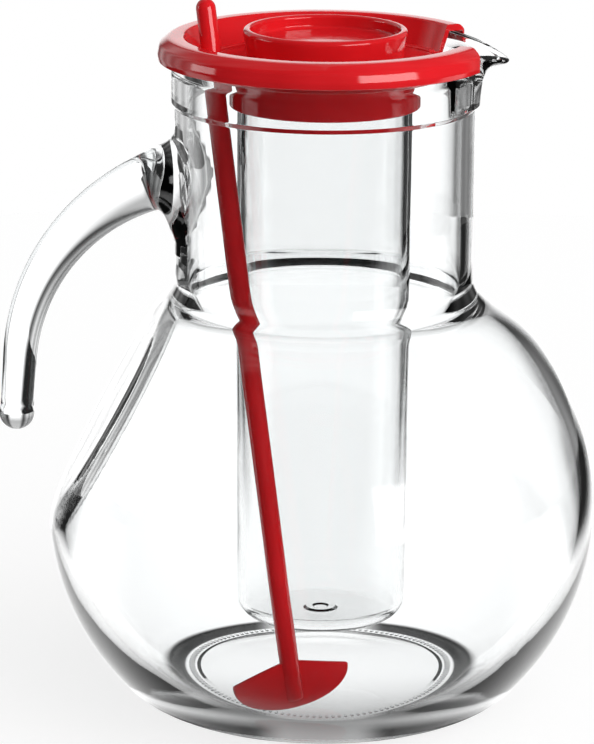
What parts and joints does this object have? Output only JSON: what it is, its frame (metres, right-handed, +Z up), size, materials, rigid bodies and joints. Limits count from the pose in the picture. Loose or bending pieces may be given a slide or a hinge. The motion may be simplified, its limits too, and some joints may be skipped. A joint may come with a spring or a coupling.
{
  "type": "glass carafe with ice tube",
  "caption": "Ball-bodied glass pitcher with a cylindrical neck, pinched spout, open hook handle, red lid, clear ice tube hanging from the lid and a red stirrer",
  "frame": {"origin": "middle of the foot ring, on the table", "axes": "+Z up along the axis of the jug, +X to the spout, -X to the handle"},
  "size_m": [0.1833, 0.168, 0.2204],
  "materials": {
    "glass": "clear, fire-polished",
    "red_plastic": "opaque, glossy",
    "clear_plastic": "clear rigid plastic"
  },
  "bodies": {
    "jug": {"glass_jug": "glass", "handle": "glass"},
    "lid": {"lid": "red_plastic"},
    "tube": {"ice_tube": "clear_plastic"},
    "cap": {"tube_cap": "red_plastic"},
    "stirrer": {"stirrer": "red_plastic"}
  },
  "joints": [
    {"name": "lid_lift", "type": "slide", "parent": "jug", "child": "lid", "axis": [0, 0, 1], "range_m": [0, 0.08]},
    {"name": "cap_lift", "type": "slide", "parent": "lid", "child": "cap", "axis": [0, 0, 1], "range_m": [0, 0.03]},
    {"name": "tube_release", "type": "slide", "parent": "lid", "child": "tube", "axis": [0, 0, -1], "range_m": [0, 0.014]},
    {"name": "stirrer_lift", "type": "slide", "parent": "lid", "child": "stirrer", "axis": [-0.1313, 0.1721, 0.9763], "range_m": [0, 0.016]}
  ]
}
